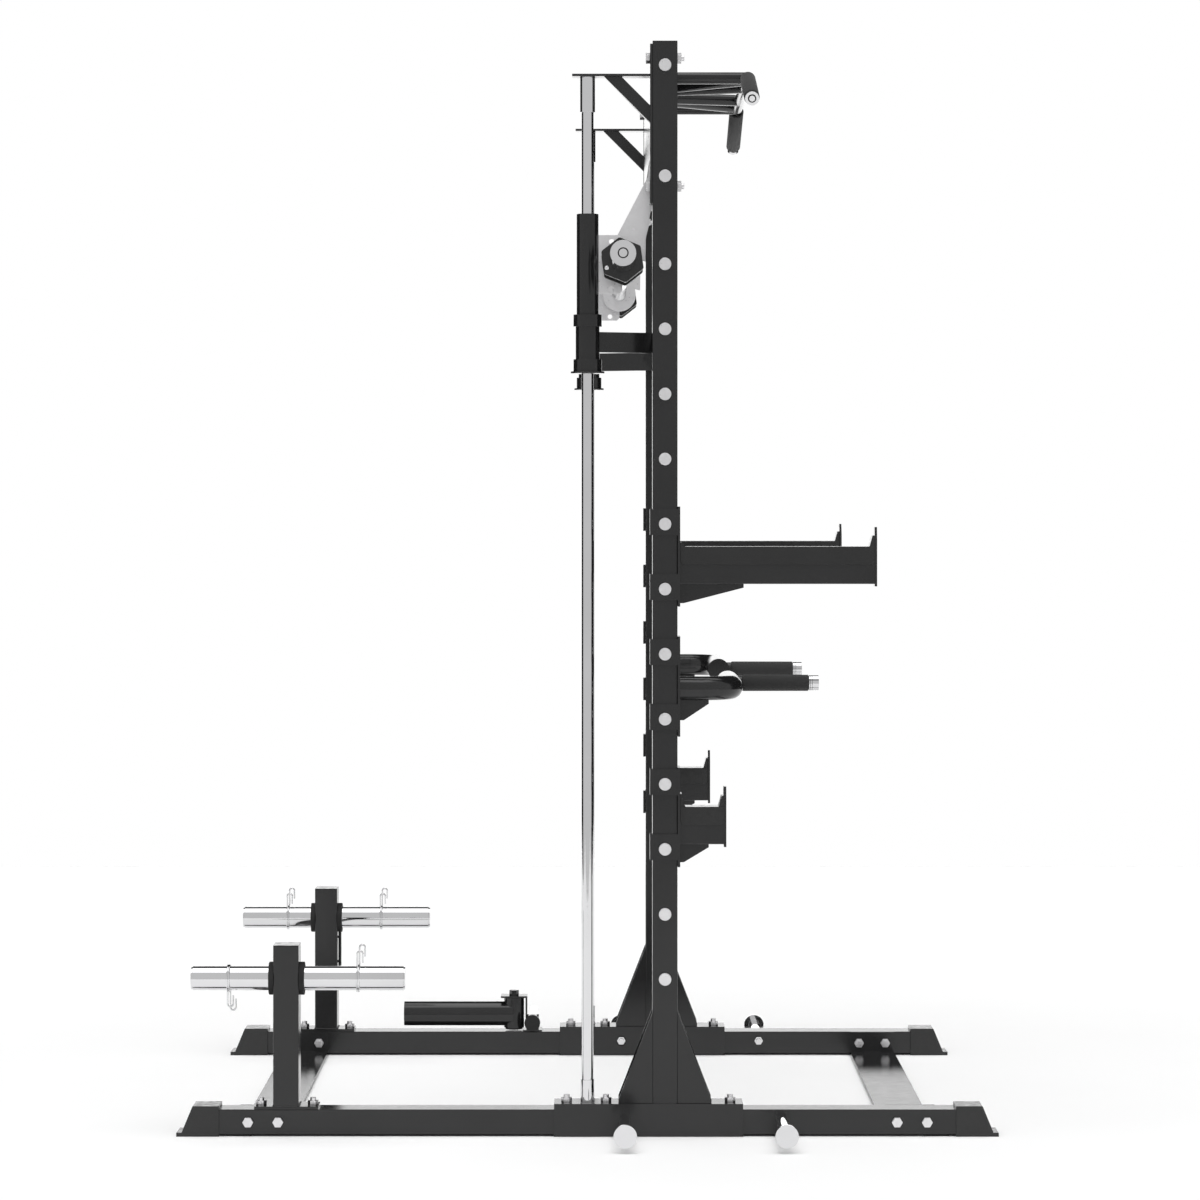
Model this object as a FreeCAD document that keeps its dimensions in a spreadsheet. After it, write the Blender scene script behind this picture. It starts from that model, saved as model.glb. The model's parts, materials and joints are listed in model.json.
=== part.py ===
"""Half rack with a guided barbell: two uprights on floor runners, a barbell on guide rods with hooks and
movable stops, plate storage posts, a landmine, a pull-up bar, spotter arms, dip handles and J-hooks.

Millimetres. +X is the front, where the lifter stands, +Y the left side and +Z up. The origin is on the
floor, midway between the guide rods. "right" is the side at -Y.
"""
import FreeCAD, Part
import Sketcher
import math
import os
import re

SIZES = {
    # the frame
    "side_y": 555, "tube_deep": 50, "tube_wide": 60, "wall": 3, "corner": 2, "plate": 5, "gap": 0.3,
    "runner_base": 4, "runner_reach": 785, "foot_inner": 737, "foot_top": 790, "foot_toe": 822.5,
    "foot_high": 61, "foot_wide": 66, "toe_thick": 8, "foot_slope": 812,
    "pad_x": 698, "pad_long": 50, "cross_x": 649, "cross_long": 100, "cross_bolt": 30,
    "upright_x": 155, "upright_top": 2190, "saddle_rear": -67, "saddle_front": 311,
    "saddle_top": 66, "saddle_lip": 1, "saddle_half": 35, "deck_half": 35.7,
    "gusset_high": 183, "gusset_long": 68, "gusset_toe": 8, "cap_deep": 12, "cap_lid": 2,
    # pegs and fasteners
    "peg_first": 315, "peg_pitch": 130, "peg_head": 12.5, "peg_out": 8, "peg_pin": 8, "peg_in": 14,
    "peg_high": 1921, "peg_top": 2143, "bolt_pin": 6, "bolt_hole": 6.5, "bolt_flat": 19, "bolt_head": 8,
    # the guides
    "rod": 12, "rod_top": 2122, "socket": 15, "socket_low": 2051, "foot_socket": 14, "foot_socket_top": 110,
    "bracket_low": 1867, "bracket_top": 2186, "shelf_rear": -31, "shelf_wide": 40, "brace_wide": 25,
    "brace_rear": 33, "brace_front": 68,
    "bolt_low": 1903, "bolt_high": 2160, "beam_low": 2118, "beam_high": 2178,
    "panel_low": 1975, "panel_half": 500, "panel_thick": 4,
    # the pull-up bar
    "grip_x": 331, "grip_z": 2148, "grip_tube": 12.25, "strut_y": 322, "bend_y": 308, "tip_y": 540,
    "tip_drop": 67, "grip_foam": 16, "tip_cap": 14.3, "inner_rear_y": 129, "inner_front_y": 300,
    # what hangs on the pegs
    "arm_wide": 50, "arm_front": 575, "arm_low": 1105, "arm_high": 1174,
    "liner": 6, "liner_lift": 28, "liner_lip": 4.5, "liner_lean": 10.5,
    "dip_z": 895, "dip_x": 290, "dip_tube": 24, "dip_bend": 60, "dip_end": 300, "dip_grip_y": 325,
    "dip_grip": 17, "dip_core": 13, "dip_grip_end": 457, "dip_tip": 477,
    "hook_low": 584, "hook_high": 653, "hook_front": 273,
    # storage and floor attachments
    "post_rear": -629, "post_front": -578, "post_top": 380, "post_base": 6, "store_z": 313, "store": 24,
    "store_rear": -792, "store_front": -369, "collar_wire": 1.7, "collar_bend": 5.5,
    "collar_reach": 36, "collar_step": 10,
    "band_z": 34, "band_peg": 12, "band_long": 200, "band_disc": 23,
    "mine_z": 92, "mine_swivel_x": -172.6, "mine_pin_x": -130, "mine_pin_z": 74.5, "mine_pin": 11,
    "mine_pin_end": 739, "mine_deck": 22, "mine_lug": 14, "mine_knob": 18, "mine_knuckle": 15,
    "mine_shelf": 22, "mine_shelf_z": 130,
    "mine_post": 12, "mine_bottom": 60, "mine_hub": 23, "mine_socket": 27.5, "mine_bore": 25.5,
    "mine_rear": -425, "mine_bore_end": -200,
    # the guided barbell
    "bar_x": 69, "bar_z": 1744, "shaft": 15, "bar_end": 933, "sleeve": 25, "sleeve_seat": 24.6,
    "sleeve_in": 600, "sleeve_end": 940, "collar_in": 12,
    "collar_out": 716, "collar_thick": 18, "collar_flat": 78, "collar_round": 44,
    "sleeve_cap": 6, "end_ring": 10.5, "end_bolt": 8,
    "eye": 38, "boss": 26, "boss_out": 14, "boss_in": 20, "plate_rear": 18, "plate_front": 27,
    "plate_low": 57, "plate_high": 61, "plate_step": 26, "plate_cut": 22, "plate_chamfer": 6,
    "plate_nose": 14,
    "plate_hole": 5.25, "plate_hole_x": 48,
    "hook_y": 515, "mouth_drop": 5, "carriage": 22, "carriage_low": 1645.3, "carriage_high": 1847,
    "bush": 18, "run": 0.05,
    "stop_low": 1531.3, "stop_high": 1645, "stop": 24, "stop_ring": 28.5, "stop_flange": 34,
    "stop_ring_high": 24, "stop_y": -507.5, "stop_half": 2.5, "stop_arm_low": 1570, "stop_arm_high": 1611,
    "stop_root": 14, "stop_elbow": 112, "stop_tip": 178, "ear_rear": 134, "ear_high": 1640, "ear_chamfer": 8,
}
PEG_ROWS = 12
RIGHT, LEFT = -1, 1
SIDES = {"right": RIGHT, "left": LEFT}

doc = FreeCAD.newDocument("half_rack")
sheet = doc.addObject("Spreadsheet::Sheet", "dims")
for row, (alias, size) in enumerate(SIZES.items(), start=1):
    sheet.set(f"A{row}", alias)
    sheet.set(f"B{row}", str(size))
    sheet.setAlias(f"B{row}", alias)
doc.recompute()
nodes = {}


def bound(expression):
    """The expression with each size's name read from the sheet."""
    return re.sub(r"[a-z][a-z_0-9]*", lambda m: "dims." + m[0] if m[0] in SIZES else m[0], str(expression))


def bind(thing, **sizes):
    """Sets properties of a feature by expression."""
    for name, expression in sizes.items():
        thing.setExpression(name, bound(expression))
    return thing


def place(thing, x, y, z, turn=FreeCAD.Rotation()):
    """Turns a feature, then binds its position."""
    thing.Placement = FreeCAD.Placement(FreeCAD.Vector(), turn)
    for axis, expression in zip("xyz", (x, y, z)):
        thing.setExpression("Placement.Base." + axis, bound(expression))
    return thing


def low(a, b):
    """The expression for the lower of two."""
    return f"min({a}; {b})"


def span(a, b):
    """The expression for the distance between two."""
    return f"abs(({b}) - ({a}))"


def box(x0, x1, y0, y1, z0, z1):
    """A block between two corners, given in either order."""
    block = bind(doc.addObject("Part::Box", "Block"),
                 Length=span(x0, x1), Width=span(y0, y1), Height=span(z0, z1))
    return place(block, low(x0, x1), low(y0, y1), low(z0, z1))


def tube_bar(axis, x0, x1, y0, y1, z0, z1):
    """A block whose four edges along a row axis are rounded, as on drawn tube."""
    block = box(x0, x1, y0, y1, z0, z1)
    doc.recompute()
    edges = [index for index, edge in enumerate(block.Shape.Edges, start=1)
             if abs(edge.tangentAt(edge.FirstParameter)["xyz".index(axis)]) > 0.5]
    rounded = doc.addObject("Part::Fillet", "Rounded")
    rounded.Base = block
    rounded.Edges = [(index, value("corner"), value("corner")) for index in edges]
    return rounded


TURNS = {
    "x": FreeCAD.Rotation(FreeCAD.Vector(0, 1, 0), 90),
    "y": FreeCAD.Rotation(FreeCAD.Vector(1, 0, 0), -90),
    "z": FreeCAD.Rotation(),
}


def along(thing, axis, start, end, first, second, roll=0):
    """Lays a feature that rises along Z on a row axis; first and second are its other coordinates."""
    spots = [first, second]
    spots.insert("xyz".index(axis), low(start, end))
    return place(thing, *spots, TURNS[axis].multiply(FreeCAD.Rotation(FreeCAD.Vector(0, 0, 1), roll)))


def rod(axis, start, end, first, second, radius):
    """A round bar along a row axis."""
    bar = bind(doc.addObject("Part::Cylinder", "Rod"), Radius=radius, Height=span(start, end))
    return along(bar, axis, start, end, first, second)


def hexagon(axis, start, end, first, second, flat, roll=0):
    """A hexagonal bar along a row axis, from the distance across its flats."""
    prism = doc.addObject("Part::Prism", "Hexagon")
    prism.Polygon = 6
    bind(prism, Circumradius=f"({flat}) / 2 / cos(30)", Height=span(start, end))
    return along(prism, axis, start, end, first, second, roll)


def fuse(*parts):
    """One solid from several that touch."""
    if len(parts) == 1:
        return parts[0]
    joined = doc.addObject("Part::MultiFuse", "Fuse")
    joined.Shapes = list(parts)
    joined.Refine = True
    return joined


def cut(base, *tools):
    """A solid with others taken out of it."""
    left = doc.addObject("Part::Cut", "Cut")
    left.Base = base
    left.Tool = fuse(*tools)
    return left


def group(*parts):
    """Separate solids in one node."""
    together = doc.addObject("Part::Compound", "Group")
    together.Links = list(parts)
    return together


def mirrored(thing):
    """The same piece for the other side."""
    copy = doc.addObject("Part::Mirroring", "Mirror")
    copy.Source = thing
    copy.Normal = FreeCAD.Vector(0, 1, 0)
    return copy


def node(label, thing):
    """Names a finished sub-part."""
    thing.Label = label
    nodes[label] = thing


def both(label, thing):
    """A finished sub-part for the right side and its mirror image for the left."""
    node("right_" + label, thing)
    node("left_" + label, mirrored(thing))


PLANES = {"y": "XZ_Plane", "z": "XY_Plane", "x": "YZ_Plane"}


def slab(axis, outline, start, end):
    """A plate whose outline is drawn square to a row axis and padded between two positions on it."""
    body = doc.addObject("PartDesign::Body", "Plate")
    sketch = body.newObject("Sketcher::SketchObject", "Outline")
    sketch.AttachmentSupport = (next(f for f in body.Origin.OriginFeatures if f.Role == PLANES[axis]), "")
    sketch.MapMode = "FlatFace"
    points = [FreeCAD.Vector(*[value(c) for c in corner], 0) for corner in outline]
    count = len(points)
    for i, point in enumerate(points):
        sketch.addGeometry(Part.LineSegment(point, points[(i + 1) % count]), False)
    for i, corner in enumerate(outline):
        sketch.addConstraint(Sketcher.Constraint("Coincident", i, 2, (i + 1) % count, 1))
        for kind, coordinate, number in zip(("DistanceX", "DistanceY"), corner, points[i][:2]):
            index = sketch.addConstraint(Sketcher.Constraint(kind, -1, 1, i, 1, number))
            sketch.setExpression(f"Constraints[{index}]", bound(coordinate))
    pad = body.newObject("PartDesign::Pad", "Pad")
    pad.Profile = sketch
    pad.Midplane = True
    bind(pad, Length=span(start, end))
    sketch.Visibility = False
    spot = {"x": 0, "y": 0, "z": 0}
    spot[axis] = f"(({start}) + ({end})) / 2"
    return place(body, *spot.values())


def value(expression):
    """An expression's value now."""
    found = sheet.evalExpression(bound(expression))
    return float(getattr(found, "Value", found))


def torus(x, y, z, bend, radius, sweep, turn):
    """A bent stretch of round tube, whose sweep starts along the turned X axis."""
    ring = doc.addObject("Part::Torus", "Bend")
    bind(ring, Radius1=bend, Radius2=radius)
    ring.Angle1 = -180
    ring.Angle2 = 180
    ring.Angle3 = sweep
    return place(ring, x, y, z, turn)


def bolt(axis, face, way, grip, first, second, tail=6):
    """A hexagon-headed bolt with its nut, as one solid: the head sits on face and points along way."""
    head = hexagon(axis, face, f"{face} + {way} * bolt_head", first, second, "bolt_flat")
    pin = rod(axis, face, f"{face} - {way} * ({grip} + bolt_head + {tail})", first, second, "bolt_pin")
    nut = hexagon(axis, f"{face} - {way} * ({grip})", f"{face} - {way} * ({grip} + bolt_head)", first, second,
                  "bolt_flat")
    return fuse(head, pin, nut)


def peg_heights():
    """Every peg's height on an upright, as expressions."""
    return [f"peg_first + peg_pitch * {i}" for i in range(PEG_ROWS)] + ["peg_high", "peg_top"]


# ---- the floor frame ----

UPRIGHT_REAR = "upright_x - tube_deep / 2"
UPRIGHT_FRONT = "upright_x + tube_deep / 2"
OUTER = "side_y + tube_wide / 2"
INNER = "side_y - tube_wide / 2"
RUNNER_TOP = "runner_base + tube_deep"
BAND_PLACES = [74, 389]
SADDLE_BOLTS = [-42, 37, 286]
POST_BOLTS = [-655, -551]


def floor_bolt_places():
    """X of every bolt that goes down through a runner."""
    return SADDLE_BOLTS + POST_BOLTS


def cross_bolt_places():
    """X of every bolt that goes across a runner."""
    return [f"{end} * cross_x + {step} * cross_bolt" for end in (-1, 1) for step in (-1, 1)]


def runner(side):
    """A floor tube of rectangular section, with its bolt holes."""
    y = f"{side} * side_y"
    outer = tube_bar("x", "-runner_reach", "runner_reach", f"{y} - tube_wide / 2", f"{y} + tube_wide / 2",
                     "runner_base", RUNNER_TOP)
    inner = box("-runner_reach - 1", "runner_reach + 1", f"{y} - tube_wide / 2 + wall",
                f"{y} + tube_wide / 2 - wall", "runner_base + wall", f"{RUNNER_TOP} - wall")
    mid = "runner_base + tube_deep / 2"
    holes = [rod("y", f"{y} - tube_wide", f"{y} + tube_wide", x, mid, "bolt_hole")
             for x in cross_bolt_places()]
    holes += [rod("y", f"{y} - tube_wide", f"{y} + tube_wide", x, "band_z", "bolt_hole") for x in BAND_PLACES]
    holes += [rod("z", 0, "tube_deep * 2", x, y, "bolt_hole") for x in floor_bolt_places()]
    return cut(outer, inner, *holes)


def foot(side, end):
    """A moulded end cap with a sloping nose and a toe, open where the runner enters."""
    corners = [("foot_inner", 0), ("foot_toe", 0), ("foot_toe", "toe_thick"), ("foot_slope", "toe_thick"),
               ("foot_top", "foot_high"), ("foot_inner", "foot_high")]
    y = f"{side} * side_y"
    cap = slab("y", [(f"{end} * {x}", z) for x, z in corners], f"{y} - foot_wide / 2", f"{y} + foot_wide / 2")
    pocket = box(f"{end} * (foot_inner - 1)", f"{end} * (runner_reach + gap)", f"{y} - tube_wide / 2 - gap",
                 f"{y} + tube_wide / 2 + gap", "runner_base", f"{RUNNER_TOP} + gap")
    return cut(cap, pocket)


def pad(side, end):
    """A rubber pad under a runner."""
    y = f"{side} * side_y"
    return box(f"{end} * pad_x - pad_long / 2", f"{end} * pad_x + pad_long / 2", f"{y} - pad_long / 2",
               f"{y} + pad_long / 2", 0, "runner_base")


def cross_plate(end):
    """A flat tie between the runners with upturned ends."""
    rear, front = f"{end} * cross_x - cross_long / 2", f"{end} * cross_x + cross_long / 2"
    flat = box(rear, front, f"-({INNER})", INNER, "runner_base", "runner_base + plate")
    ends = [box(rear, front, f"{s} * ({INNER})", f"{s} * ({INNER} - plate)", "runner_base", RUNNER_TOP)
            for s in SIDES.values()]
    mid = "runner_base + tube_deep / 2"
    holes = [rod("y", "-side_y", "side_y", f"{end} * cross_x + {step} * cross_bolt", mid, "bolt_hole")
             for step in (-1, 1)]
    return cut(fuse(flat, *ends), *holes)


def cross_bolt(side, x):
    """A bolt across a runner and the tie's upturned end."""
    return bolt("y", f"{side} * ({OUTER})", side, "tube_wide + plate", x, "runner_base + tube_deep / 2")


def floor_bolt(side, x, face):
    """A bolt down through a plate and the runner, with its thread standing above the nut."""
    y = f"{side} * side_y"
    head = hexagon("z", face, f"{face} + bolt_head", x, y, "bolt_flat")
    thread = rod("z", f"{face} + bolt_head", f"{face} + bolt_head + 6", x, y, "bolt_pin")
    pin = rod("z", "runner_base + wall + 2", face, x, y, "bolt_pin")
    return fuse(head, thread, pin)


def upright(side):
    """A drilled post with a channel round the runner and two pairs of gussets, welded together."""
    y = f"{side} * side_y"
    outer = tube_bar("z", UPRIGHT_REAR, UPRIGHT_FRONT, f"{y} - tube_wide / 2", f"{y} + tube_wide / 2",
                     "saddle_top", "upright_top")
    inner = box(f"{UPRIGHT_REAR} + wall", f"{UPRIGHT_FRONT} - wall", f"{y} - tube_wide / 2 + wall",
                f"{y} + tube_wide / 2 - wall", "saddle_top", "upright_top + 1")
    deck = box("saddle_rear", "saddle_front", f"{y} - deck_half", f"{y} + deck_half",
               RUNNER_TOP, "saddle_top")
    lips = [box("saddle_rear", "saddle_front",
                f"{y} + {s} * (tube_wide / 2 + gap)", f"{y} + {s} * saddle_half",
                "saddle_lip", "saddle_top") for s in (-1, 1)]
    gussets = []
    for face, way in ((UPRIGHT_REAR, -1), (UPRIGHT_FRONT, 1)):
        toe = f"{face} + {way} * gusset_long"
        corners = [(face, "saddle_top"), (toe, "saddle_top"), (toe, "saddle_top + gusset_toe"),
                   (face, "saddle_top + gusset_high")]
        gussets += [slab("y", corners, f"{y} + {s} * tube_wide / 2", f"{y} + {s} * (tube_wide / 2 - plate)")
                    for s in (-1, 1)]
    pins = [rod("y", f"{y} - tube_wide", f"{y} + tube_wide", "upright_x", z, "peg_pin + run")
            for z in peg_heights()]
    bolts = [rod("x", 0, "tube_deep * 5", y, z, "bolt_hole") for z in ("bolt_low", "bolt_high")]
    floor = [rod("z", "tube_deep", "tube_deep * 1.6", x, y, "bolt_hole") for x in SADDLE_BOLTS]
    peg_hole = rod("y", f"{y} - tube_wide", f"{y} + tube_wide", BAND_PLACES[0], "band_z", "band_peg + run")
    return cut(fuse(outer, deck, *lips, *gussets), inner, *pins, *bolts, *floor, peg_hole)


def peg(side, z):
    """A pin through an upright: a plain head outside, a round catch inside."""
    head = rod("y", f"{side} * ({OUTER})", f"{side} * ({OUTER} + peg_out)", "upright_x", z, "peg_head")
    pin = rod("y", f"{side} * ({OUTER})", f"{side} * ({INNER} - peg_in)", "upright_x", z, "peg_pin")
    return fuse(head, pin)


def tube_cap(side, rear, front, top):
    """A plastic plug in the open top of a post, with a lid that covers the tube's rim."""
    y = f"{side} * side_y"
    plug = box(f"{rear} + wall + gap", f"{front} - wall - gap", f"{y} - tube_wide / 2 + wall + gap",
               f"{y} + tube_wide / 2 - wall - gap", f"{top} - cap_deep", top)
    lid = tube_bar("z", rear, front, f"{y} - tube_wide / 2", f"{y} + tube_wide / 2", top, f"{top} + cap_lid")
    return fuse(plug, lid)


# ---- the guides and the head of the frame ----

def rod_socket(side, bottom, top, radius):
    """A collar round one end of a guide rod."""
    y = f"{side} * side_y"
    return cut(rod("z", bottom, top, 0, y, radius),
               rod("z", f"{bottom} - 1", f"{top} + 1", 0, y, "rod + run"))


def top_bracket(side):
    """A plate behind the upright, a shelf over the guide rod and a sloping brace between them."""
    y = f"{side} * side_y"
    back = box(f"{UPRIGHT_REAR} - plate", UPRIGHT_REAR, f"{y} - tube_wide / 2", f"{y} + tube_wide / 2",
               "bracket_low", "bracket_top")
    shelf = box("shelf_rear", f"{UPRIGHT_REAR} - plate", f"{y} - shelf_wide / 2", f"{y} + shelf_wide / 2",
                "rod_top", "rod_top + plate")
    foot_x = f"{UPRIGHT_REAR} - plate"
    corners = [("brace_rear", "rod_top"), ("brace_front", "rod_top"),
               (foot_x, f"rod_top + brace_front - ({foot_x})"),
               (foot_x, f"rod_top + brace_rear - ({foot_x})")]
    brace = slab("y", corners, f"{y} - brace_wide / 2", f"{y} + brace_wide / 2")
    holes = [rod("x", "tube_deep", "tube_deep * 3", y, z, "bolt_hole") for z in ("bolt_low", "bolt_high")]
    return cut(fuse(back, shelf, brace), *holes)


def bracket_bolt(side, z):
    """A bolt through a top bracket and its upright, with the nut in front."""
    return bolt("x", f"{UPRIGHT_REAR} - plate", -1, "plate + tube_deep", f"{side} * side_y", z)


def head_beam():
    """The cross tube between the uprights."""
    outer = tube_bar("y", UPRIGHT_REAR, UPRIGHT_FRONT, f"-({INNER})", INNER, "beam_low", "beam_high")
    inner = box(f"{UPRIGHT_REAR} + wall", f"{UPRIGHT_FRONT} - wall", "-side_y", "side_y", "beam_low + wall",
                "beam_high - wall")
    return cut(outer, inner)


def back_panel():
    """A plain sheet that hangs behind the cross tube."""
    return box(f"{UPRIGHT_REAR} - panel_thick", UPRIGHT_REAR,
               "-panel_half", "panel_half", "panel_low", "beam_high")


def straight(start, end, radius):
    """A round bar between two points of the model, as numbers."""
    a, b = FreeCAD.Vector(*map(value, start)), FreeCAD.Vector(*map(value, end))
    bar = bind(doc.addObject("Part::Cylinder", "Strut"), Radius=radius)
    bar.Height = (b - a).Length
    return place(bar, *start, FreeCAD.Rotation(FreeCAD.Vector(0, 0, 1), b - a))


def tip_slope():
    """The angle at which the pull-up bar's ends bend down."""
    return math.degrees(math.atan2(value("tip_drop"), value("tip_y - bend_y")))


def on_tip(distance):
    """The point on the right end's centre line at a distance from the bend."""
    slope = math.radians(tip_slope())
    return ("grip_x", f"-bend_y - {distance * math.cos(slope):.4f}",
            f"grip_z - {distance * math.sin(slope):.4f}")


TIP_LONG = math.hypot(value("tip_drop"), value("tip_y - bend_y"))
CAP_LONG = 14
GRIP_START = 12


def grip_side(side, thing):
    """A right-hand piece, or its mirror image for the left."""
    return thing if side == RIGHT else mirrored(thing)


def pull_up_frame():
    """The main bar with its bent ends, and the struts that carry it, as one weldment."""
    pieces = [rod("y", "-bend_y", "bend_y", "grip_x", "grip_z", "grip_tube")]
    front = UPRIGHT_FRONT
    root = "upright_x + tube_deep / 4"
    for side in SIDES.values():
        tip = straight(on_tip(0), on_tip(TIP_LONG - CAP_LONG), "grip_tube")
        knuckle = bind(doc.addObject("Part::Sphere", "Knuckle"), Radius="grip_tube")
        place(knuckle, "grip_x", f"{side} * bend_y", "grip_z")
        pieces += [grip_side(side, tip), knuckle]
        pieces.append(straight((front, f"{side} * strut_y * 0.95", "grip_z"),
                               ("grip_x", f"{side} * strut_y * 0.95", "grip_z"), "grip_tube"))
        for rear, ahead in ((f"{side} * inner_rear_y", f"{side} * (inner_front_y - 25)"),
                            (f"{side} * inner_rear_y * 0.6", f"{side} * inner_rear_y")):
            pieces.append(straight((root, rear, "grip_z"), ("grip_x", ahead, "grip_z"), "grip_tube"))
    return cut(fuse(*pieces), box(f"{root} - tube_wide", front, "-side_y", "side_y", "beam_low", "beam_high"))


def pull_up_grip(side):
    """A foam sleeve on a bent end."""
    outer = straight(on_tip(GRIP_START), on_tip(TIP_LONG - CAP_LONG), "grip_foam")
    inner = straight(on_tip(0), on_tip(TIP_LONG), "grip_tube + run")
    return grip_side(side, cut(outer, inner))


def pull_up_cap(side):
    """A turned cap that closes a bent end, with its screw."""
    cap = straight(on_tip(TIP_LONG - CAP_LONG), on_tip(TIP_LONG), "tip_cap")
    screw = straight(on_tip(TIP_LONG - 1), on_tip(TIP_LONG + 2), "bolt_pin")
    return grip_side(side, fuse(cap, screw))


# ---- what hangs on the pegs, drawn for the right side ----

def hanger(bottom, top, pegs):
    """A front plate with an ear and a rear tab round the upright's outer side at each of two pegs."""
    face = f"{UPRIGHT_FRONT} + gap"
    outer = f"-({OUTER} + gap + plate)"
    pieces = [box(face, f"{face} + plate", outer, f"-({INNER})", bottom, top)]
    for z in pegs:
        ear_low, ear_high = f"{z} - 22", f"{z} + 30"
        pieces.append(box(f"{UPRIGHT_REAR} - gap - plate", f"{face} + plate", outer, f"-({OUTER} + gap)",
                          ear_low, ear_high))
        pieces.append(box(f"{UPRIGHT_REAR} - gap - plate", f"{UPRIGHT_REAR} - gap", outer, "-side_y",
                          ear_low, ear_high))
    holes = [rod("y", "-side_y * 1.1", f"-({OUTER})", "upright_x", z, "peg_head + gap * 2") for z in pegs]
    return cut(fuse(*pieces), *holes)


PLATE_FRONT = f"{UPRIGHT_FRONT} + gap + plate"


def under_gusset(top, long, deep):
    """A web under an arm."""
    corners = [(PLATE_FRONT, top), (f"{PLATE_FRONT} + {long}", top),
               (f"{PLATE_FRONT} + {long}", f"{top} - 8"),
               (f"{PLATE_FRONT} + 8", f"{top} - {deep}"), (PLATE_FRONT, f"{top} - {deep}")]
    return slab("y", corners, "-side_y - plate / 2", "-side_y + plate / 2")


def box_arm(front, bottom, top):
    """A rectangular tube that stands out from a hanger."""
    y0, y1 = "-side_y - arm_wide / 2", "-side_y + arm_wide / 2"
    outer = tube_bar("x", PLATE_FRONT, front, y0, y1, bottom, top)
    inner = box(PLATE_FRONT, f"{front} + 1", f"{y0} + wall", f"{y1} - wall",
                f"{bottom} + wall", f"{top} - wall")
    return cut(outer, inner)


def end_plate(front, bottom, shoulder, top):
    """The plate that closes an arm and stops the bar, narrower towards its top."""
    half = "arm_wide / 2 + 4"
    corners = [(f"-side_y - {half}", bottom), (f"-side_y + {half}", bottom), (f"-side_y + {half}", shoulder),
               ("-side_y + 16", top), ("-side_y - 16", top), (f"-side_y - {half}", shoulder)]
    return slab("x", corners, front, f"{front} + plate")


def spotter_arm():
    """A long safety arm."""
    return fuse(hanger("arm_low - 45", "arm_high + 86",
                       ["peg_first + peg_pitch * 6", "peg_first + peg_pitch * 7"]),
                box_arm("arm_front", "arm_low", "arm_high"),
                end_plate("arm_front", "arm_low - 5", "arm_high + 19", "arm_high + 45"),
                under_gusset("arm_low", 128, 39))


def liner(front, top, rear_lift):
    """A plastic saddle on an arm, thin in the middle and raised against both ends."""
    rear = PLATE_FRONT
    corners = [(rear, top), (front, top), (front, f"{top} + liner_lift"),
               (f"{front} - liner_lip", f"{top} + liner_lift"), (f"{front} - liner_lean", f"{top} + liner"),
               (f"{rear} + liner_lean", f"{top} + liner"), (f"{rear} + wall", f"{top} + {rear_lift}"),
               (rear, f"{top} + {rear_lift}")]
    return slab("y", corners, "-side_y - arm_wide / 2 + 1", "-side_y + arm_wide / 2 - 1")


def j_hook():
    """A short hook for the bar."""
    return fuse(hanger("hook_low - 45", "hook_high + 85",
                       ["peg_first + peg_pitch * 2", "peg_first + peg_pitch * 3"]),
                box_arm("hook_front", "hook_low", "hook_high"),
                end_plate("hook_front", "hook_low - 6", "hook_high + 21", "hook_high + 46"),
                under_gusset("hook_low", 58, 38))


def dip_path(radius):
    """The dip handle's tube: forward, round a bend and inwards."""
    bend_x = "dip_x - dip_bend"
    bend_y = "-side_y + dip_bend"
    return [rod("x", PLATE_FRONT, bend_x, "-side_y", "dip_z", radius),
            torus(bend_x, bend_y, "dip_z", "dip_bend", radius, 90,
                  FreeCAD.Rotation(FreeCAD.Vector(0, 0, 1), -90)),
            rod("y", bend_y, "-dip_end", "dip_x", "dip_z", radius)]


def dip_bar():
    """A bent tube on a hanger, with a plain core that carries the grip."""
    tube = cut(fuse(*dip_path("dip_tube")), *dip_path("dip_tube - wall"))
    lid = rod("y", "-dip_end", "-dip_end - wall", "dip_x", "dip_z", "dip_tube")
    root = rod("x", "dip_x", "dip_x + dip_tube + 4", "-dip_grip_y", "dip_z", "dip_core + 2")
    return fuse(hanger("dip_z - 95", "dip_z + 105",
                       ["peg_first + peg_pitch * 4", "peg_first + peg_pitch * 5"]),
                tube, lid, root, under_gusset("dip_z - dip_tube + 1", 58, 41))


def dip_handle():
    """The chromed core and tip of a dip grip."""
    core = rod("x", "dip_x + dip_tube + 4", "dip_grip_end", "-dip_grip_y", "dip_z", "dip_core")
    tip = rod("x", "dip_grip_end", "dip_tip", "-dip_grip_y", "dip_z", "dip_core + 2.5")
    return fuse(core, tip)


def dip_grip():
    """The foam sleeve of a dip handle."""
    start, end = "dip_x + dip_tube + 4", "dip_grip_end"
    return cut(rod("x", start, end, "-dip_grip_y", "dip_z", "dip_grip"),
               rod("x", f"{start} - 1", f"{end} + 1", "-dip_grip_y", "dip_z", "dip_core + run"))


# ---- plate storage ----

def storage_post(side):
    """A short post on a base plate, bored for the storage tube."""
    y = f"{side} * side_y"
    base_top = f"{RUNNER_TOP} + post_base"
    base = box("post_rear - 38", "post_front + 39", f"{y} - tube_wide / 2", f"{y} + tube_wide / 2",
               RUNNER_TOP, base_top)
    outer = tube_bar("z", "post_rear", "post_front", f"{y} - tube_wide / 2", f"{y} + tube_wide / 2", base_top,
                     "post_top")
    inner = box("post_rear + wall", "post_front - wall", f"{y} - tube_wide / 2 + wall",
                f"{y} + tube_wide / 2 - wall", base_top, "post_top + 1")
    bore = rod("x", "post_rear - 1", "post_front + 1", y, "store_z", "store + run")
    holes = [rod("z", "tube_deep", "tube_deep * 1.6", x, y, "bolt_hole") for x in POST_BOLTS]
    return cut(fuse(base, outer), inner, bore, *holes)


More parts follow.
